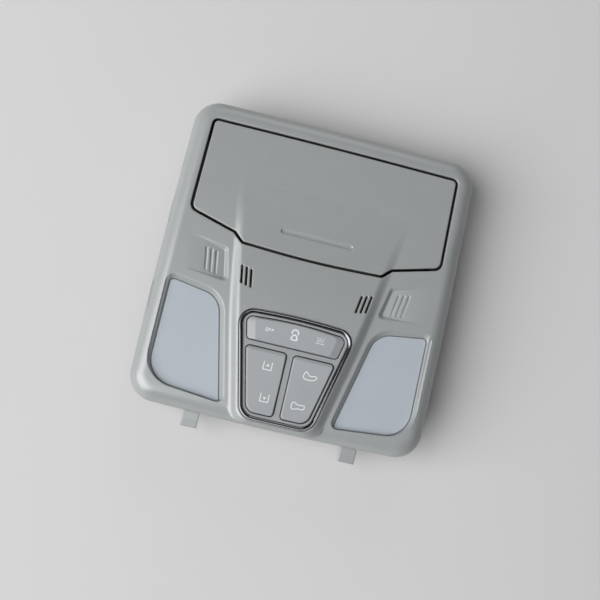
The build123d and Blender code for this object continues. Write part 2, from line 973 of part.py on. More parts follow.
def sector_face():
    """Toothed sector on the bin, about the hinge; the next tooth to the mesh point lags by one."""
    first = mesh_direction - 360 / sector_teeth
    points = toothed_points(sector_teeth, sector_cut_teeth, first)
    return make_face(Polyline((0, 0), *points, close=True))


def pinion_face():
    """Pinion with a tooth space towards the hinge."""
    first = mesh_direction - 180 + 180 / pinion_teeth
    return make_face(Polyline(*toothed_points(pinion_teeth, pinion_teeth, first), close=True))


def damper_pinion():
    shaft_end = well_outer_x + damper_thickness / 2
    teeth = gear_prism(pinion_face(), pinion_x, pinion_x + gear_width, pinion_y, pinion_z)
    return teeth + rod_x(pinion_y, pinion_z, pinion_x, shaft_end, damper_shaft_radius)


def damper_ear_ys():
    return (pinion_y - damper_ear_reach, pinion_y + damper_ear_reach)


def damper_body():
    x0 = well_outer_x
    ear_end = x0 + damper_ear_thickness
    body = rod_x(pinion_y, pinion_z, x0, x0 + damper_thickness, damper_radius)
    low_y, high_y = damper_ear_ys()
    body += block(
        x0, ear_end, low_y, high_y, pinion_z - damper_ear_radius, pinion_z + damper_ear_radius
    )
    for y in (low_y, high_y):
        body += rod_x(y, pinion_z, x0, ear_end, damper_ear_radius)
    for y in (low_y, high_y):
        body -= rod_x(y, pinion_z, x0, ear_end, small_screw_radius + screw_play)
    bore_end = x0 + damper_thickness / 2 + gear_side_gap
    return body - rod_x(pinion_y, pinion_z, x0, bore_end, damper_shaft_radius + hinge_play)


def damper_screws():
    x0 = well_outer_x + damper_ear_thickness
    screws = Part()
    for y in damper_ear_ys():
        screws += rod_x(y, pinion_z, x0, x0 + small_screw_head_height, small_screw_head_radius)
        screws += rod_x(y, pinion_z, well_half_width, x0, small_screw_radius)
    return screws


# Latch and stops


def latch_body():
    x = latch_half_width
    y0, y1 = latch_front_y, latch_front_y + latch_length
    body = block(-x, x, y0, y1, latch_bottom_z, latch_top_z)
    half_flange = latch_screw_x - latch_half_width
    body += block(
        -latch_flange_half,
        latch_flange_half,
        latch_wall_y,
        y0,
        latch_screw_z - half_flange,
        latch_screw_z + half_flange,
    )
    inner = x - latch_wall
    body -= block(
        -inner, inner, y0 + latch_wall, y1 - latch_wall, latch_bottom_z + latch_wall, latch_top_z
    )
    hole_radius = small_screw_radius + screw_play
    for side in (-1, 1):
        body -= rod_y(side * latch_screw_x, latch_screw_z, latch_wall_y, y0, hole_radius)
    return body


def latch_plunger():
    x = latch_half_width - latch_wall - plunger_play
    y = latch_length / 2 - latch_wall - plunger_play
    bottom = latch_bottom_z + latch_wall + plunger_travel + plunger_play
    body = block(-x, x, latch_mid_y - y, latch_mid_y + y, bottom, plunger_top_z)
    jaw_gap = striker_half + plunger_play
    for side in (-1, 1):
        low_x, high_x = sorted((side * jaw_gap, side * x))
        body += block(
            low_x, high_x, latch_mid_y - y, latch_mid_y + y, plunger_top_z, plunger_top_z + jaw_height
        )
    return body


def latch_screws():
    screws = Part()
    for side in (-1, 1):
        x = side * latch_screw_x
        head_end = latch_front_y + small_screw_head_height
        screws += rod_y(x, latch_screw_z, latch_front_y, head_end, small_screw_head_radius)
        screws += rod_y(x, latch_screw_z, well_low_y, latch_front_y, small_screw_radius)
    return screws


def bumper_spot():
    """Place of the right-hand stop under the door's back, as x, y and the back's height."""
    y = door_bottom + bumper_offset
    column = rod_z(bumper_x, y, face_z - wall, outer_top, bumper_radius) & shell
    return bumper_x, y, column.bounding_box().min.Z


def bumper_seat_z():
    x, y, back_z = bumper_spot()
    return back_z - bumper_gap - bumper_height


def door_bumpers():
    x, y, back_z = bumper_spot()
    return both_sides(rod_z(x, y, bumper_seat_z(), back_z - bumper_gap, bumper_radius))


# Lenses and lamps


def map_lens():
    """Right-hand lens: the push plate, its retaining flange, its pivots and its switch leg."""
    step_z = lens_z - lens_bevel
    body = slab(lens_outline(lens_gap), lens_flange_z, step_z)
    body += frustum(lens_outline(lens_gap), lens_outline(lens_gap + lens_bevel), step_z, lens_z)
    body += slab(lens_outline(-lens_flange), lens_back_z, lens_flange_z)
    pivots = rod_x(
        lens_pivot_y, lens_pivot_z, 0, half_width, lens_pivot_radius
    ) & slab(lens_outline(-lens_flange - lens_pivot_reach), lens_back_z - lens_gap, lens_z)
    pivots -= slab(lens_outline(lens_flange), 0, lens_z)
    body += pivots
    foot_z = leg_foot_z(lens_leg_y - lens_pivot_y, lens_press_angle)
    half = lens_leg / 2
    return body + block(
        lens_leg_x - half, lens_leg_x + half, lens_leg_y - half, lens_leg_y + half, foot_z, lens_back_z
    )


def leg_foot_z(arm, angle):
    """Lower end of a leg that stays clear of its switch when its key is pressed home."""
    return switch_top_z + abs(arm) * sin(radians(angle)) + leg_gap


def lamp_reflector():
    """Right-hand reflector: a sloped cup that stands on the board round the lamp."""
    top_z = lens_back_z - lens_length * sin(radians(lens_press_angle)) - leg_gap
    fall = (top_z - board_z) * tan(radians(reflector_slope))
    rim, foot = reflector_inset, reflector_inset + fall
    cup = frustum(lens_outline(foot), lens_outline(rim), board_z, top_z)
    return cup - frustum(
        lens_outline(foot + reflector_wall), lens_outline(rim + reflector_wall), board_z, top_z
    )


def lamp_spot():
    box = lens_outline(reflector_inset).bounding_box()
    return (box.min.X + box.max.X) / 2, (box.min.Y + box.max.Y) / 2


def map_leds():
    x, y = lamp_spot()
    half = led_size / 2
    return both_sides(block(x - half, x + half, y - half, y + half, board_z, board_z + led_height))


# Switch cluster


def chrome_ring():
    outer = cluster_outline(ring_gap)
    inner = cluster_outline(ring_gap + ring_band)
    ring = slab(outer - inner, plateau_inner_z, plateau_z + ring_proud)
    ring = fillet(ring.faces().sort_by(Axis.Z)[-1].outer_wire().edges(), ring_outer_round)
    return fillet(ring.faces().sort_by(Axis.Z)[-1].inner_wires()[0].edges(), ring_inner_round)


def switch_fascia():
    outline = cluster_outline(ring_gap + ring_band + fascia_play)
    plate = slab(outline, plateau_inner_z, fascia_z)
    plate -= slab(dome_key_outline(-key_gap), plateau_inner_z, fascia_z)
    return plate - both_sides(slab(roof_key_outline(-key_gap), plateau_inner_z, fascia_z))


def key_axle_ends():
    """Ends of the dome key's axle along Y, and of the right-hand roof key's axle along X."""
    dome = (
        dome_key_bottom - housing_room - key_axle_bite,
        dome_key_top + housing_room + key_axle_bite,
    )
    edge = ridge_x(roof_key_mid) - key_ridge_gap
    roof = (
        roof_key_web / 2 - housing_room - key_axle_bite / 2,
        edge + housing_room + key_axle_bite,
    )
    return dome, roof


def dome_key():
    edge_z = key_top_z - key_edge_drop
    body = slab(dome_key_outline(0), key_base_z, edge_z)
    body += frustum(dome_key_outline(0), dome_key_outline(key_bevel, dome_flank), edge_z, key_top_z)
    low_y, high_y = key_axle_ends()[0]
    body += rod_y(0, key_axis_z, low_y, high_y, key_axle_radius)
    low_y, high_y = dome_key_bottom + key_hub, dome_key_top - key_hub
    body += block(-key_hub, key_hub, low_y, high_y, key_axis_z - key_hub, key_base_z)
    foot_z = leg_foot_z(dome_leg_reach, dome_key_angle)
    half = key_leg / 2
    for x in (-dome_leg_reach, dome_leg_reach):
        body += block(x - half, x + half, dome_key_mid - half, dome_key_mid + half, foot_z, key_base_z)
    return body


def roof_key():
    """Right-hand roof key, a rocker with a dished top and a sloped crest."""
    edge_z = key_top_z - key_edge_drop
    body = slab(roof_key_outline(0), key_base_z, edge_z)
    body += frustum(roof_key_outline(0), roof_key_outline(key_bevel), edge_z, key_top_z)
    reach = (roof_key_top - roof_key_bottom) / 2
    dish = (reach**2 + roof_key_sag**2) / (2 * roof_key_sag)
    body -= rod_x(roof_key_mid, key_top_z + dish - roof_key_sag, 0, half_width, dish)
    crest = Polyline(
        (roof_key_top - roof_key_crest, key_top_z),
        (roof_key_top, key_top_z - roof_key_crest_drop),
        (roof_key_top, key_top_z),
        close=True,
    )
    body -= prism_x(make_face(crest), 0, half_width)
    low_x, high_x = key_axle_ends()[1]
    body += rod_x(roof_key_mid, key_axis_z, low_x, high_x, key_axle_radius)
    inner_x = roof_key_web / 2 + key_hub
    outer_x = ridge_x(roof_key_mid) - key_ridge_gap - key_hub
    body += block(
        inner_x, outer_x, roof_key_mid - key_hub, roof_key_mid + key_hub, key_axis_z - key_hub, key_base_z
    )
    foot_z = leg_foot_z(roof_leg_reach, roof_key_angle)
    half = key_leg / 2
    for y in roof_leg_ys():
        x = roof_leg_x(y)
        body += block(x - half, x + half, y - half, y + half, foot_z, key_base_z)
    return body


def roof_leg_ys():
    return (roof_key_mid - roof_leg_reach, roof_key_mid + roof_leg_reach)


def roof_leg_x(y):
    return (roof_key_web / 2 + ridge_x(y) - key_ridge_gap) / 2


def switch_housing():
    bottom = seat_z
    body = slab(cluster_outline(housing_gap), bottom, plateau_inner_z)
    tongue_y = cluster_top + housing_tongue
    tongue_z = plateau_height(tongue_y) - wall - housing_tongue_gap
    body += block(
        -housing_tongue_half,
        housing_tongue_half,
        cluster_top - housing_foot,
        tongue_y,
        tongue_z - housing_tongue_thickness,
        tongue_z,
    )
    room_z = bottom + housing_floor
    body -= slab(dome_key_outline(-housing_room), room_z, plateau_inner_z)
    body -= both_sides(slab(roof_key_outline(-housing_room), room_z, plateau_inner_z))
    bore = key_axle_radius + key_axle_play
    low_y, high_y = key_axle_ends()[0]
    body -= rod_y(0, key_axis_z, low_y - key_axle_play, high_y + key_axle_play, bore)
    low_x, high_x = key_axle_ends()[1]
    body -= both_sides(rod_x(roof_key_mid, key_axis_z, low_x - key_axle_play, high_x + key_axle_play, bore))
    half = key_leg / 2 + leg_room
    windows = [(dome_leg_reach, dome_key_mid)] + [(roof_leg_x(y), y) for y in roof_leg_ys()]
    for x, y in windows:
        body -= both_sides(block(x - half, x + half, y - half, y + half, bottom, room_z))
    foot_y = cluster_top - key_inset
    foot = block(
        -housing_foot, housing_foot, foot_y - housing_floor, foot_y + housing_floor, board_z, room_z
    )
    return body + foot


# Board


def circuit_board():
    return slab(bay_outline(carrier_wall + board_play), board_back_z, board_z)


def tact_switches():
    spots = [(lens_leg_x, lens_leg_y), (dome_leg_reach, dome_key_mid)]
    spots += [(roof_leg_x(y), y) for y in roof_leg_ys()]
    half = switch_body / 2
    body_z = board_z + switch_body_height
    switches = Part()
    for x, y in spots:
        body = block(x - half, x + half, y - half, y + half, board_z, body_z)
        body += rod_z(x, y, body_z, switch_top_z, switch_stem_radius)
        switches += both_sides(body)
    return switches


def control_chip():
    half = chip_size / 2
    return block(-half, half, chip_y - half, chip_y + half, board_z, board_z + chip_height)


def header_end_z():
    return cover_z - cover_thickness - header_proud


def connector_header():
    """Plug socket on the rear of the board, open to the rear."""
    x, y = header_width / 2, header_depth / 2
    body = block(-x, x, header_y - y, header_y + y, header_end_z(), board_back_z)
    x, y = x - header_wall, y - header_wall
    return body - block(
        -x, x, header_y - y, header_y + y, header_end_z(), board_back_z - header_floor
    )


def connector_pins():
    floor_z = board_back_z - header_floor
    half = pin_size / 2
    pins = Part()
    for i in range(pin_count):
        x = (i - (pin_count - 1) / 2) * pin_pitch
        pins += block(x - half, x + half, header_y - half, header_y + half, floor_z - pin_reach, floor_z)
    return pins


# Microphones


def microphone():
    """Right-hand capsule, in its boot behind the slots."""
    top_z = mic_top_z - cloth_thickness
    return rod_z(mic_x, slot_y, top_z - mic_height, top_z, mic_radius)


def microphone_boot():
    top_z = mic_top_z - cloth_thickness
    boot = rod_z(mic_x, slot_y, top_z - mic_height - boot_floor, top_z, boot_radius)
    return boot - rod_z(mic_x, slot_y, top_z - mic_height, top_z, mic_radius)


def microphone_cloths():
    low_z = mic_top_z - cloth_thickness
    return both_sides(rod_z(mic_x, slot_y, low_z, mic_top_z, boot_radius))


# Carrier


def carrier_ears():
    """Ears under the bezel's posts."""
    radius = post_radius + ear_rim
    low_z = seat_z - ear_thickness
    ears = Part()
    for x, y in post_spots:
        inner_x = min(max(x, -well_half_width), well_half_width)
        inner_y = min(max(y, bay_low_y + carrier_wall / 2), well_end_y + carrier_wall / 2)
        ears += rod_z(x, y, low_z, seat_z, radius)
        x0, x1 = sorted((x, inner_x))
        y0, y1 = sorted((y, inner_y))
        across = radius if x0 == x1 else 0
        along = radius if y0 == y1 else 0
        ears += block(x0 - across, x1 + across, y0 - along, y1 + along, low_z, seat_z)
    return ears


def well_ribs():
    """Stiffening ribs on the rear of the well."""
    low_z = well_floor_z - carrier_wall - well_rib_height
    mid_y = (well_low_y + well_end_y) / 2
    half = well_rib / 2
    x = well_half_width
    ribs = block(-x, x, mid_y - half, mid_y + half, low_z, well_floor_z)
    for rib_x in (-x / 2, 0, x / 2):
        ribs += block(rib_x - half, rib_x + half, well_low_y + well_round, well_end_y, low_z, well_floor_z)
    return ribs


def well_cheek():
    """Right-hand bulge of the well round the door's swing, and the ledge under the door's edge."""
    start = hinge_y + lug_radius - carrier_wall
    bulge = rod_x(hinge_y, hinge_z, well_half_width, cheek_outer_x, swing_room + carrier_wall)
    bulge = bulge & block(0, half_width, start, half_length, well_floor_z, well_top_z)
    ledge_z = well_top_z - carrier_wall
    return bulge + block(well_half_width, cheek_outer_x, well_low_y, start, ledge_z, well_top_z)


def rear_carrier():
    well = slab(well_outline(0), well_floor_z - carrier_wall, well_top_z)
    bay = slab(bay_outline(0), cover_z, seat_z)
    bay -= slab(bay_outline(carrier_wall), board_back_z, seat_z)
    bay -= slab(bay_outline(carrier_wall + bay_ledge), cover_z, board_back_z)
    boss = Part()
    for y in cover_boss_ys:
        boss += rod_z(cover_boss_x, y, cover_z, board_back_z, cover_boss_radius)
    lug = rod_x(hinge_y, hinge_z, well_half_width, well_outer_x, lug_radius)
    body = bay + well + well_ribs() + carrier_ears() + both_sides(boss + lug + well_cheek())
    body -= slab(well_outline(carrier_wall), well_floor_z, well_top_z + hinge_depth)
    swing = rod_x(hinge_y, hinge_z, well_half_width - carrier_wall, cheek_inner_x, swing_room)
    swing -= toward_free_end(hinge_y + lug_radius)
    body -= both_sides(swing)
    x, y, back_z = bumper_spot()
    low_z, top_z = well_top_z - carrier_wall, bumper_seat_z()
    shelf = block(x - bumper_radius, x + bumper_radius, well_low_y, y + bumper_radius, low_z, well_top_z)
    body += both_sides(shelf + rod_z(x, y, low_z, top_z, bumper_radius))
    body -= both_sides(
        rod_x(hinge_y, hinge_z, well_half_width, half_width, hinge_pin_radius + pin_seat_play)
    )
    body -= rod_x(pinion_y, pinion_z, well_half_width, well_outer_x, damper_shaft_radius + hinge_play)
    for y in damper_ear_ys():
        body -= rod_x(y, pinion_z, well_half_width, well_outer_x, small_screw_radius + screw_play)
    for side in (-1, 1):
        body -= rod_y(
            side * latch_screw_x, latch_screw_z, well_low_y, latch_wall_y, small_screw_radius + screw_play
        )
    for x, y in post_spots:
        body -= rod_z(x, y, 0, seat_z, screw_radius + screw_play)
    for y in cover_boss_ys:
        body -= both_sides(rod_z(cover_boss_x, y, cover_z, board_back_z, small_screw_radius + screw_play))
    return body


def bay_cover():
    low_z = cover_z - cover_thickness
    plate = slab(bay_outline(0), low_z, cover_z)
    plate -= slab(well_outline(-board_play), low_z, cover_z)
    x, y = header_width / 2 + header_window_play, header_depth / 2 + header_window_play
    plate -= block(-x, x, header_y - y, header_y + y, low_z, cover_z)
    vents = Part()
    for i in range(vent_count):
        y = vent_y + (i - (vent_count - 1) / 2) * vent_pitch
        vents += slab(Pos(vent_x, y) * SlotOverall(vent_length, vent_width), low_z, cover_z)
    plate -= both_sides(vents)
    for y in cover_boss_ys:
        plate -= both_sides(rod_z(cover_boss_x, y, low_z, cover_z, small_screw_radius + screw_play))
    return plate


def carrier_screws():
    seat = seat_z - ear_thickness
    reach = ear_thickness + screw_bite - screw_play
    screws = Part()
    for x, y in post_spots:
        screws += screw_z(x, y, seat, reach, screw_radius, screw_head_radius, screw_head_height)
    return screws


def cover_screws():
    seat = cover_z - cover_thickness
    reach = cover_thickness + bay_depth / 2
    screws = Part()
    for y in cover_boss_ys:
        screws += both_sides(
            screw_z(
                cover_boss_x,
                y,
                seat,
                reach,
                small_screw_radius,
                small_screw_head_radius,
                small_screw_head_height,
            )
        )
    return screws


def spring_clip():
    """Right-hand catch: a strip hooked over the well's end wall, bent back on itself."""
    wall_y = well_end_y + carrier_wall
    low_z = well_top_z - clip_drop
    bulge_y, bulge_z = wall_y + clip_bulge, low_z + clip_drop / 2
    tip_y, tip_z = wall_y + clip_bulge / 2, low_z + clip_drop - clip_hook
    path = [
        (well_end_y - clip_sheet, well_top_z - clip_hook),
        (well_end_y - clip_sheet, well_top_z + clip_sheet),
        (wall_y + clip_sheet, well_top_z + clip_sheet),
        (wall_y + clip_sheet, low_z + clip_bend),
        (bulge_y - clip_sheet, bulge_z),
        (tip_y - clip_sheet, tip_z),
        (tip_y, tip_z),
        (bulge_y, bulge_z),
        (wall_y + clip_sheet, low_z),
        (wall_y, low_z),
        (wall_y, well_top_z),
        (well_end_y, well_top_z),
        (well_end_y, well_top_z - clip_hook),
    ]
    half = clip_width / 2
    return prism_x(make_face(Polyline(*path, close=True)), clip_x - half, clip_x + half)


pieces = {
    "bezel": bezel(),
    "door_panel": door_panel(),
    "glasses_tub": glasses_tub(),
    "tub_liner": tub_liner(),
    "door_screws": door_screws(),
    "hinge_pin_right": hinge_pin(),
    "hinge_pin_left": mirrored(hinge_pin()),
    "damper_body": damper_body(),
    "damper_pinion": damper_pinion(),
    "damper_screws": damper_screws(),
    "latch_body": latch_body(),
    "latch_plunger": latch_plunger(),
    "latch_screws": latch_screws(),
    "door_bumpers": door_bumpers(),
    "lens_right": map_lens(),
    "lens_left": mirrored(map_lens()),
    "lamp_reflector_right": lamp_reflector(),
    "lamp_reflector_left": mirrored(lamp_reflector()),
    "map_leds": map_leds(),
    "chrome_ring": chrome_ring(),
    "switch_fascia": switch_fascia(),
    "switch_housing": switch_housing(),
    "dome_key": dome_key(),
    "roof_tilt_key": roof_key(),
    "roof_slide_key": mirrored(roof_key()),
    "circuit_board": circuit_board(),
    "tact_switches": tact_switches(),
    "control_chip": control_chip(),
    "connector_header": connector_header(),
    "connector_pins": connector_pins(),
    "microphone_right": microphone(),
    "microphone_left": mirrored(microphone()),
    "microphone_boot_right": microphone_boot(),
    "microphone_boot_left": mirrored(microphone_boot()),
    "microphone_cloths": microphone_cloths(),
    "rear_carrier": rear_carrier(),
    "bay_cover": bay_cover(),
    "carrier_screws": carrier_screws(),
    "cover_screws": cover_screws(),
    "spring_clip_right": spring_clip(),
    "spring_clip_left": mirrored(spring_clip()),
}

os.makedirs("parts", exist_ok=True)
for name, piece in pieces.items():
    export_step(piece, f"parts/{name}.step")
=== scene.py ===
import bpy
import json
from mathutils import Matrix, Vector
from mathutils.bvhtree import BVHTree


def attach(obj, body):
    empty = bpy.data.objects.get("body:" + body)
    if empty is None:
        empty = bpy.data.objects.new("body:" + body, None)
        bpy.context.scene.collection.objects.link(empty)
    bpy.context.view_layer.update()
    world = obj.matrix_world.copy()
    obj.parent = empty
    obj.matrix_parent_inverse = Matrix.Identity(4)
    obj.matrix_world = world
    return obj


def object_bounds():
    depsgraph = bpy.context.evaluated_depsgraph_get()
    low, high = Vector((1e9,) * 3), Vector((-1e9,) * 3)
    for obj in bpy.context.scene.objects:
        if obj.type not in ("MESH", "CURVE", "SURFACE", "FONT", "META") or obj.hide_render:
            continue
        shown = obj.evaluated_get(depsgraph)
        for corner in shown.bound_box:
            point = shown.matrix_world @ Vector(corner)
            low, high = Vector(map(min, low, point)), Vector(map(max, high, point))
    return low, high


# Looks of the overhead console. Metres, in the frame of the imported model: X to the right, Y towards
# the hinge of the bin's door, Z out of the headliner into the cabin.

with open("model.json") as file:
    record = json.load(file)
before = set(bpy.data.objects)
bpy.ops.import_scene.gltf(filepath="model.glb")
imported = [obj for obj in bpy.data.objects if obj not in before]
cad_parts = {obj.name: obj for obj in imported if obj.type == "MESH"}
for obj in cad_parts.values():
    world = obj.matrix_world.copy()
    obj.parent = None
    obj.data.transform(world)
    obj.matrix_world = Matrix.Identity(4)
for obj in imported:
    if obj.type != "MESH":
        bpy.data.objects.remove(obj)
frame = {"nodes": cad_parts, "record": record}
cad_low, cad_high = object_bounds()
nodes = frame["nodes"]

MM = 0.001

# Colours, linear
TRIM = (0.300, 0.318, 0.318)
KEY = (0.328, 0.347, 0.358)
FASCIA = (0.300, 0.315, 0.325)
LENS = (0.412, 0.450, 0.497)
CHROME = (0.20, 0.20, 0.215)
BLACK_PLASTIC = (0.018, 0.018, 0.020)
FELT = (0.012, 0.012, 0.014)
ZINC = (0.55, 0.55, 0.54)
PHOSPHATE = (0.030, 0.030, 0.032)
NYLON = (0.66, 0.64, 0.57)
RUBBER = (0.012, 0.012, 0.012)
SOLDER_MASK = (0.010, 0.085, 0.030)
LAMP = (0.80, 0.72, 0.40)
IVORY = (0.62, 0.57, 0.44)
BRASS = (0.70, 0.52, 0.22)
WHITE_PLASTIC = (0.78, 0.78, 0.76)
CAPSULE = (0.55, 0.55, 0.57)
PRINT = (0.72, 0.74, 0.76)
FLOOR = (0.60, 0.60, 0.60)

# Part of the noise over which a mottled colour goes from its darkest to its palest
MOTTLE_FROM, MOTTLE_TO = 0.3, 0.7

# Rays that look for a hard edge near a point, to break it
EDGE_SAMPLES = 8

# Quarter round of the rim's long sides. The middle of the round bows in with the square of y, by
# RIM_BOW per metre. Its true normal goes to places within RIM_STRAIGHT of the side's middle and no
# deeper than RIM_SLACK, a little way out and up from the middle of the round, and only where the face
# looks about the same way, by the cosine RIM_FACING.
RIM_CENTRE_X = 88.64 * MM
RIM_CENTRE_Z = 4.0 * MM
RIM_ROUND = 11.0 * MM
RIM_BOW = 0.113
RIM_STRAIGHT = 78.0 * MM
RIM_SLACK = 1.9 * MM
RIM_LEAST_OUT = 0.2 * MM
RIM_LEAST_RISE = 0.1 * MM
RIM_FACING = 0.62

# Symbols printed on the keys: how far they stand proud of a key and reach into it, the height from
# which a ray finds the key, how often corners are cut to round them, and the least cosine of a mitre
PRINT_PROUD = 0.03 * MM
PRINT_SUNK = 0.05 * MM
RAY_START = 1.0
ROUNDING_PASSES = 3
LEAST_MITRE = 0.5

# Floor sheet, just clear of the console
FLOOR_HALF = 4.0
FLOOR_GAP = 0.05 * MM

# Surround: colour of each band, and the rise of the direction that shows it
HORIZON, HORIZON_RISE = (0.50, 0.50, 0.505), 0.03
WALL, WALL_RISE = (0.12, 0.12, 0.124), 0.14
OVERHEAD, OVERHEAD_RISE = (0.03, 0.03, 0.032), 0.55

# Square lamps: name, direction from the console, distance, side in metres and power in watts
LAMPS = [
    ("key_light", (-0.63, -0.36, 0.69), 3.2, 3.2, 160.0),
    ("rear_light", (0.0, 0.90, 0.42), 1.4, 0.8, 2.4),
    ("front_light", (-0.08, -0.14, 0.98), 1.4, 0.6, 2.4),
]

# Camera, from the photo's perspective: place in metres, and its right, up and back directions
CAMERA_PLACE = (-0.04721, -0.0985, 0.60284)
CAMERA_RIGHT = (0.9688, 0.2240, 0.1058)
CAMERA_UP = (-0.2357, 0.9649, 0.1157)
CAMERA_BACK = (-0.0762, -0.1371, 0.9876)
CAMERA_LENS = 54.0
CAMERA_SENSOR = 36.0
CAMERA_NEAREST = 0.01


def link(tree, source, output, target, socket):
    tree.links.new(source.outputs[output], target.inputs[socket])


def node(tree, kind, **values):
    """New shader node with its input sockets set by name."""
    made = tree.nodes.new(kind)
    for name, value in values.items():
        made.inputs[name.replace("_", " ")].default_value = value
    return made


def math_node(tree, operation, *values):
    """Math node whose inputs are plain numbers or other nodes' outputs; gives its output."""
    made = tree.nodes.new("ShaderNodeMath")
    made.operation = operation
    for socket, value in zip(made.inputs, values):
        if isinstance(value, float):
            socket.default_value = value
        else:
            tree.links.new(value, socket)
    return made.outputs["Value"]


def vector_node(tree, operation, output, *vectors):
    """Vector math node whose inputs are other nodes' outputs; gives the named output."""
    made = tree.nodes.new("ShaderNodeVectorMath")
    made.operation = operation
    for socket, vector in zip(made.inputs, vectors):
        tree.links.new(vector, socket)
    return made.outputs[output]


def new_material(name):
    """Node material, with its shader and the node that gives places on the piece in metres."""
    material = bpy.data.materials.new(name)
    material.use_nodes = True
    tree = material.node_tree
    shader = tree.nodes["Principled BSDF"]
    place = tree.nodes.new("ShaderNodeTexCoord")
    return material, tree, shader, place


def mottled(tree, shader, colour, place, scale, spread):
    """Base colour that drifts a little over the surface."""
    noise = node(tree, "ShaderNodeTexNoise", Scale=scale, Detail=4.0, Roughness=0.6)
    link(tree, place, "Object", noise, "Vector")
    ramp = tree.nodes.new("ShaderNodeValToRGB")
    darkest, palest = ramp.color_ramp.elements
    darkest.position = MOTTLE_FROM
    palest.position = MOTTLE_TO
    darkest.color = (*[c * (1 - spread) for c in colour], 1)
    palest.color = (*[min(c * (1 + spread), 1) for c in colour], 1)
    link(tree, noise, "Fac", ramp, "Fac")
    link(tree, ramp, "Color", shader, "Base Color")


def true_rim(tree, place, bevel):
    """Normal of the rim's quarter round along both long sides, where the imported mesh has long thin
    triangles that spoil the highlight. Elsewhere the bevel's normal goes through."""
    split = tree.nodes.new("ShaderNodeSeparateXYZ")
    link(tree, place, "Object", split, "Vector")
    x, y, z = split.outputs

    bow = math_node(tree, "MULTIPLY", math_node(tree, "MULTIPLY", y, y), RIM_BOW)
    past_centre = math_node(tree, "SUBTRACT", math_node(tree, "ABSOLUTE", x), RIM_CENTRE_X)
    out = math_node(tree, "ADD", past_centre, bow)
    rise = math_node(tree, "SUBTRACT", z, RIM_CENTRE_Z)
    lean = math_node(tree, "MULTIPLY", math_node(tree, "MULTIPLY", y, 2 * RIM_BOW), out)
    outward = math_node(tree, "MULTIPLY", math_node(tree, "SIGN", x), out)
    normal = tree.nodes.new("ShaderNodeCombineXYZ")
    for part, socket in zip((outward, lean, rise), normal.inputs):
        tree.links.new(part, socket)
    unit = vector_node(tree, "NORMALIZE", "Vector", normal.outputs["Vector"])
    reach = vector_node(tree, "LENGTH", "Value", normal.outputs["Vector"])
    face = tree.nodes.new("ShaderNodeNewGeometry")
    facing = vector_node(tree, "DOT_PRODUCT", "Value", face.outputs["True Normal"], unit)

    inside = math_node(tree, "LESS_THAN", math_node(tree, "ABSOLUTE", y), RIM_STRAIGHT)
    least = (
        (reach, RIM_ROUND - RIM_SLACK),
        (out, RIM_LEAST_OUT),
        (rise, RIM_LEAST_RISE),
        (facing, RIM_FACING),
    )
    for value, limit in least:
        inside = math_node(tree, "MULTIPLY", inside, math_node(tree, "GREATER_THAN", value, limit))
    mix = tree.nodes.new("ShaderNodeMix")
    mix.data_type = "VECTOR"
    tree.links.new(inside, mix.inputs["Factor"])
    outside_end, inside_end = [s for s in mix.inputs if s.type == "VECTOR" and s.name in ("A", "B")]
    tree.links.new(bevel.outputs["Normal"], outside_end)
    tree.links.new(unit, inside_end)
    return next(socket for socket in mix.outputs if socket.type == "VECTOR")


def grained(tree, shader, place, pitch, depth, roughness, sheen_spread, edge=0.0, rim=False):
    """Fine grain of the given pitch and depth, in metres, and a roughness that follows it. With an
    edge radius the hard edges look broken."""
    grain = node(tree, "ShaderNodeTexNoise", Scale=1 / pitch, Detail=3.0, Roughness=0.55)
    link(tree, place, "Object", grain, "Vector")
    bump = node(tree, "ShaderNodeBump", Strength=1.0, Distance=depth)
    link(tree, grain, "Fac", bump, "Height")
    if edge:
        bevel = node(tree, "ShaderNodeBevel", Radius=edge)
        bevel.samples = EDGE_SAMPLES
        base = true_rim(tree, place, bevel) if rim else bevel.outputs["Normal"]
        tree.links.new(base, bump.inputs["Normal"])
    link(tree, bump, "Normal", shader, "Normal")
    smoothest, roughest = roughness - sheen_spread, roughness + sheen_spread
    spread = node(tree, "ShaderNodeMapRange", To_Min=smoothest, To_Max=roughest)
    link(tree, grain, "Fac", spread, "Value")
    link(tree, spread, "Result", shader, "Roughness")


def moulded(
    name, colour, roughness=0.5, pitch=0.35 * MM, depth=0.008 * MM, specular=0.5, edge=0.0, rim=False
):
    """Moulded plastic with a fine grain."""
    material, tree, shader, place = new_material(name)
    mottled(tree, shader, colour, place, scale=60.0, spread=0.02)
    grained(tree, shader, place, pitch, depth, roughness, sheen_spread=0.06, edge=edge, rim=rim)
    shader.inputs["Specular IOR Level"].default_value = specular
    return material


def metal(name, colour, roughness, pitch, depth):
    """Plated or rolled metal with a faint grain."""
    material, tree, shader, place = new_material(name)
    mottled(tree, shader, colour, place, scale=200.0, spread=0.04)
    grained(tree, shader, place, pitch, depth, roughness, sheen_spread=0.03)
    shader.inputs["Metallic"].default_value = 1.0
    return material


def milky(name, colour):
    """Milky lens plastic: light goes in and spreads a few millimetres."""
    material, tree, shader, place = new_material(name)
    mottled(tree, shader, colour, place, scale=25.0, spread=0.015)
    grained(
        tree, shader, place, pitch=0.6 * MM, depth=0.004 * MM, roughness=0.34, sheen_spread=0.04
    )
    shader.inputs["Subsurface Weight"].default_value = 0.35
    shader.inputs["Subsurface Radius"].default_value = (1.0, 1.0, 1.0)
    shader.inputs["Subsurface Scale"].default_value = 2.5 * MM
    return material


def felted(name, colour):
    """Felt or cloth: uneven dark fibres with a soft sheen."""
    material, tree, shader, place = new_material(name)
    mottled(tree, shader, colour, place, scale=900.0, spread=0.35)
    grained(
        tree, shader, place, pitch=0.25 * MM, depth=0.10 * MM, roughness=0.9, sheen_spread=0.05
    )
    shader.inputs["Sheen Weight"].default_value = 0.4
    shader.inputs["Sheen Roughness"].default_value = 0.5
    return material


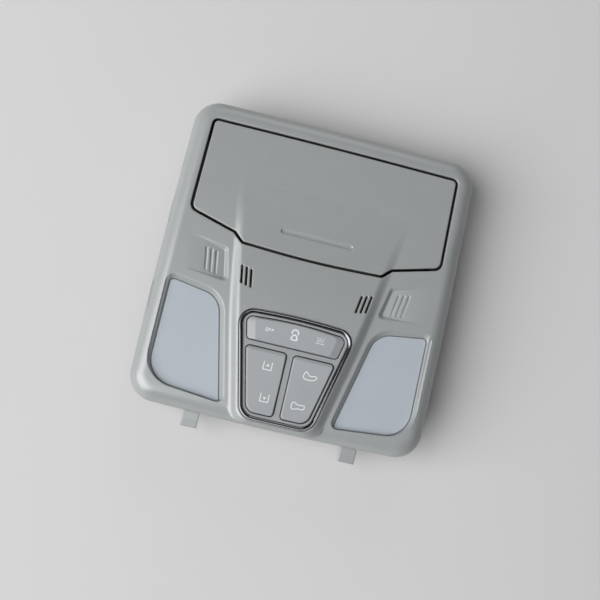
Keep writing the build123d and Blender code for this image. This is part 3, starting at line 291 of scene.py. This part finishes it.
# Finish of each material slot in the record
materials = {
    "trim_grey": moulded(
        "trim_grey", TRIM, roughness=0.30, specular=1.0, edge=1.2 * MM, rim=True
    ),
    "lens_milk": milky("lens_milk", LENS),
    "ring_chrome": metal("ring_chrome", CHROME, roughness=0.12, pitch=0.8 * MM, depth=0.002 * MM),
    "fascia_silver": moulded(
        "fascia_silver", FASCIA, roughness=0.38, depth=0.003 * MM, edge=0.5 * MM
    ),
    "key_grey": moulded(
        "key_grey", KEY, roughness=0.46, pitch=0.30 * MM, depth=0.006 * MM, edge=0.9 * MM
    ),
    "carrier_black": moulded(
        "carrier_black", BLACK_PLASTIC, roughness=0.55, pitch=0.6 * MM, depth=0.015 * MM
    ),
    "bin_black": moulded("bin_black", BLACK_PLASTIC, roughness=0.5),
    "liner_felt": felted("liner_felt", FELT),
    "steel": metal("steel", ZINC, roughness=0.32, pitch=0.4 * MM, depth=0.006 * MM),
    "damper_black": moulded("damper_black", BLACK_PLASTIC, roughness=0.35),
    "nylon_white": moulded("nylon_white", NYLON, roughness=0.42),
    "rubber_black": moulded("rubber_black", RUBBER, roughness=0.75),
    "board_green": moulded("board_green", SOLDER_MASK, roughness=0.3, pitch=1.2 * MM),
    "lamp_white": moulded("lamp_white", LAMP, roughness=0.3),
    "switch_black": moulded("switch_black", BLACK_PLASTIC, roughness=0.45),
    "header_ivory": moulded("header_ivory", IVORY, roughness=0.45),
    "contact_brass": metal(
        "contact_brass", BRASS, roughness=0.25, pitch=0.3 * MM, depth=0.003 * MM
    ),
    "reflector_white": moulded("reflector_white", WHITE_PLASTIC, roughness=0.3),
    "capsule_metal": metal(
        "capsule_metal", CAPSULE, roughness=0.3, pitch=0.4 * MM, depth=0.004 * MM
    ),
    "cloth_black": felted("cloth_black", RUBBER),
}
clip_steel = metal("clip_steel", PHOSPHATE, roughness=0.5, pitch=0.3 * MM, depth=0.006 * MM)
print_white = moulded("print_white", PRINT, roughness=0.5, depth=0.002 * MM)


def dress_nodes():
    """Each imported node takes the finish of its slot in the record; the clips are blackened steel."""
    for part in frame["record"]["subparts"]:
        mesh = nodes[part["node"]].data
        mesh.materials.clear()
        blackened = part["node"].startswith("spring_clip")
        mesh.materials.append(clip_steel if blackened else materials[part["material_slot"]])


# Each symbol is a list of marks in millimetres about its own middle: a mark is (kind, points), where a
# line is open, a loop is closed and a patch is filled, and the curved kinds have their corners rounded.
LETTER_O = [(-0.75, -1.05), (0.75, -1.05), (0.75, 1.05), (-0.75, 1.05)]
LETTER_F_STEM = [(-0.6, -0.85), (-0.6, 0.85), (0.6, 0.85)]
LETTER_F_ARM = [(-0.35, 0.1), (0.5, 0.1)]
O_MIDDLE = -2.0
F_MIDDLES = (0.1, 2.0)


def shifted(points, x):
    return [(x + across, high) for across, high in points]


def off_sign():
    """The word OFF."""
    marks = [("curved loop", shifted(LETTER_O, O_MIDDLE))]
    for middle in F_MIDDLES:
        marks.append(("line", shifted(LETTER_F_STEM, middle)))
        marks.append(("line", shifted(LETTER_F_ARM, middle)))
    return marks


def bracket_sign(arrow):
    """Open square with an arrowhead that points up, for 1, or down, for -1."""
    square = [(-2.7, 2.6), (-2.7, -2.6), (2.7, -2.6), (2.7, 2.6)]
    head = [(-1.1 * arrow, -0.4 * arrow), (1.1 * arrow, -0.4 * arrow), (0.0, 1.5 * arrow)]
    return [("line", square), ("patch", head)]


DOOR_SIGN = [
    ("curved line", [(-2.2, 0.4), (-1.7, 3.3), (1.7, 3.3), (2.2, 0.4)]),
    (
        "curved loop",
        [(-0.9, 0.0), (-2.0, -2.2), (-1.8, -3.4), (1.8, -3.4), (2.0, -2.2), (0.9, 0.0)],
    ),
]
LAMP_SIGN = [
    ("line", [(-2.9, -2.2), (2.9, -2.2)]),
    ("curved line", [(-2.0, -1.35), (-1.3, -0.2), (1.3, -0.2), (2.0, -1.35)]),
    ("line", [(0.0, 0.6), (0.0, 2.1)]),
    ("line", [(-1.5, 0.4), (-2.4, 1.6)]),
    ("line", [(1.5, 0.4), (2.4, 1.6)]),
]
RAISED_SIGN = [
    (
        "curved loop",
        [
            (-4.1, -1.8), (-4.4, 0.5), (-3.9, 1.6), (-3.3, 3.3), (-1.5, 2.0), (-0.2, 0.4),
            (2.6, 1.2), (4.5, 1.0), (4.3, -0.6), (2.4, -1.7), (0.2, -2.1),
        ],
    )
]
SHUT_SIGN = [
    (
        "curved loop",
        [
            (-4.1, -2.2), (-4.3, 0.4), (-3.8, 2.2), (-2.2, 2.4), (-0.9, 1.1), (2.0, 1.1),
            (4.2, 1.5), (4.5, -0.3), (3.8, -1.5), (-0.6, -1.4), (-2.0, -2.3),
        ],
    )
]
FINE_STROKE, STROKE, BOLD_STROKE = 0.42, 0.62, 0.95

# Name of each symbol, its key, its middle on the key, its marks and the width of its strokes, in
# millimetres
SYMBOLS = [
    ("off_symbol", "dome_key", (-17.0, -41.4), off_sign(), FINE_STROKE),
    ("door_symbol", "dome_key", (-0.3, -40.9), DOOR_SIGN, BOLD_STROKE),
    ("lamp_symbol", "dome_key", (16.9, -40.5), LAMP_SIGN, FINE_STROKE),
    ("slide_open_symbol", "roof_slide_key", (-13.0, -64.4), bracket_sign(1), STROKE),
    ("slide_shut_symbol", "roof_slide_key", (-10.4, -84.9), bracket_sign(-1), STROKE),
    ("tilt_open_symbol", "roof_tilt_key", (15.5, -65.4), RAISED_SIGN, STROKE),
    ("tilt_shut_symbol", "roof_tilt_key", (11.9, -85.6), SHUT_SIGN, STROKE),
]


def rounded(points, closed):
    """Corners cut again and again, so that a polyline turns into a smooth one."""
    for _ in range(ROUNDING_PASSES):
        following = points[1:] + points[:1] if closed else points[1:]
        cut = []
        for start, end in zip(points, following):
            cut.append(start.lerp(end, 0.25))
            cut.append(start.lerp(end, 0.75))
        points = cut if closed else [points[0]] + cut + [points[-1]]
    return points


def ribbon_sides(points, width, closed):
    """Left and right edge of a mitred ribbon along the points."""
    left, right = [], []
    last = len(points) - 1
    for i, here in enumerate(points):
        before = points[i - 1] if closed or i > 0 else None
        after = points[(i + 1) % len(points)] if closed or i < last else None
        into = (here - before).normalized() if before else (after - here).normalized()
        out = (after - here).normalized() if after else into
        normal = Vector((-into.y - out.y, into.x + out.x)).normalized()
        reach = width / 2 / max(normal.dot(Vector((-into.y, into.x))), LEAST_MITRE)
        left.append(here + normal * reach)
        right.append(here - normal * reach)
    return left, right


def lay(points, middle, surface):
    """Places flat points, in millimetres, on a surface below: an upper and a lower layer."""
    upper, lower = [], []
    for point in points:
        x, y = (middle[0] + point.x) * MM, (middle[1] + point.y) * MM
        hit = surface.ray_cast(Vector((x, y, RAY_START)), Vector((0.0, 0.0, -1.0)))[0]
        upper.append((x, y, hit.z + PRINT_PROUD))
        lower.append((x, y, hit.z - PRINT_SUNK))
    return upper, lower


def add_solid(verts, faces, outline_loops, caps, layers):
    """Joins an upper and a lower layer of points into one closed thin solid."""
    start, count = len(verts), len(layers[0])
    verts += layers[0] + layers[1]
    for cap in caps:
        faces.append([start + i for i in cap])
        faces.append([start + count + i for i in reversed(cap)])
    for loop in outline_loops:
        for i, j in zip(loop, loop[1:] + loop[:1]):
            faces.append([start + j, start + i, start + count + i, start + count + j])


def add_mark(verts, faces, kind, points, width, middle, surface):
    """One mark of a symbol, as a filled patch or as a ribbon along its line or loop."""
    flat = [Vector(p) for p in points]
    if kind == "patch":
        loop = list(range(len(flat)))
        add_solid(verts, faces, [loop], [loop], lay(flat, middle, surface))
        return
    closed = kind.endswith("loop")
    if kind.startswith("curved"):
        flat = rounded(flat, closed)
    left, right = ribbon_sides(flat, width, closed)
    count = len(flat)
    steps = range(count if closed else count - 1)
    caps = [[count + i, count + (i + 1) % count, (i + 1) % count, i] for i in steps]
    right_edge = list(range(count, 2 * count))
    left_edge = list(reversed(range(count)))
    loops = [right_edge, left_edge] if closed else [right_edge + left_edge]
    add_solid(verts, faces, loops, caps, lay(left + right, middle, surface))


def add_symbols():
    """White symbols that lie on the keys, each parented to an empty named for its key's body."""
    for name, key, middle, marks, width in SYMBOLS:
        mesh = nodes[key].data
        corners = [v.co for v in mesh.vertices]
        surface = BVHTree.FromPolygons(corners, [p.vertices for p in mesh.polygons])
        verts, faces = [], []
        for kind, points in marks:
            add_mark(verts, faces, kind, points, width, middle, surface)
        drawn = bpy.data.meshes.new(name)
        drawn.from_pydata(verts, [], faces)
        drawn.materials.append(print_white)
        symbol = bpy.data.objects.new(name, drawn)
        bpy.context.scene.collection.objects.link(symbol)
        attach(symbol, key)


def add_floor():
    """Pale sheet that the console lies on."""
    z = cad_low[2] - FLOOR_GAP
    corners = [(x * FLOOR_HALF, y * FLOOR_HALF, z) for x, y in ((-1, -1), (1, -1), (1, 1), (-1, 1))]
    mesh = bpy.data.meshes.new("floor")
    mesh.from_pydata(corners, [], [(0, 1, 2, 3)])
    floor = bpy.data.objects.new("floor", mesh)
    bpy.context.scene.collection.objects.link(floor)
    material, tree, shader, place = new_material("floor_paper")
    mottled(tree, shader, FLOOR, place, scale=3.0, spread=0.01)
    shader.inputs["Roughness"].default_value = 0.9
    shader.inputs["Specular IOR Level"].default_value = 0.2
    mesh.materials.append(material)


def add_lamps():
    """Soft square lamps that look at the console's middle."""
    for name, direction, distance, side, power in LAMPS:
        light = bpy.data.lights.new(name, "AREA")
        light.shape = "SQUARE"
        light.size = side
        light.energy = power
        lamp = bpy.data.objects.new(name, light)
        away = Vector(direction).normalized()
        lamp.location = away * distance
        lamp.rotation_euler = away.to_track_quat("Z", "Y").to_euler()
        bpy.context.scene.collection.objects.link(lamp)


def add_world():
    """Studio surround: pale round the horizon, darker overhead."""
    world = bpy.data.worlds.new("studio")
    bpy.context.scene.world = world
    world.use_nodes = True
    tree = world.node_tree
    background = tree.nodes["Background"]
    place = tree.nodes.new("ShaderNodeTexCoord")
    split = tree.nodes.new("ShaderNodeSeparateXYZ")
    link(tree, place, "Generated", split, "Vector")
    ramp = tree.nodes.new("ShaderNodeValToRGB")
    ramp.color_ramp.interpolation = "EASE"
    horizon, overhead = ramp.color_ramp.elements
    horizon.position = HORIZON_RISE
    horizon.color = (*HORIZON, 1)
    overhead.position = OVERHEAD_RISE
    overhead.color = (*OVERHEAD, 1)
    wall = ramp.color_ramp.elements.new(WALL_RISE)
    wall.color = (*WALL, 1)
    link(tree, split, "Z", ramp, "Fac")
    link(tree, ramp, "Color", background, "Color")


def add_camera():
    """Camera at the photo's viewing angle."""
    data = bpy.data.cameras.new("camera")
    data.lens = CAMERA_LENS
    data.sensor_width = CAMERA_SENSOR
    data.clip_start = CAMERA_NEAREST
    camera = bpy.data.objects.new("camera", data)
    turn = Matrix((CAMERA_RIGHT, CAMERA_UP, CAMERA_BACK)).transposed()
    camera.matrix_world = Matrix.Translation(CAMERA_PLACE) @ turn.to_4x4()
    bpy.context.scene.collection.objects.link(camera)
    bpy.context.scene.camera = camera


dress_nodes()
add_symbols()
add_floor()
add_world()
add_lamps()
add_camera()
bpy.context.scene.view_settings.view_transform = "Standard"
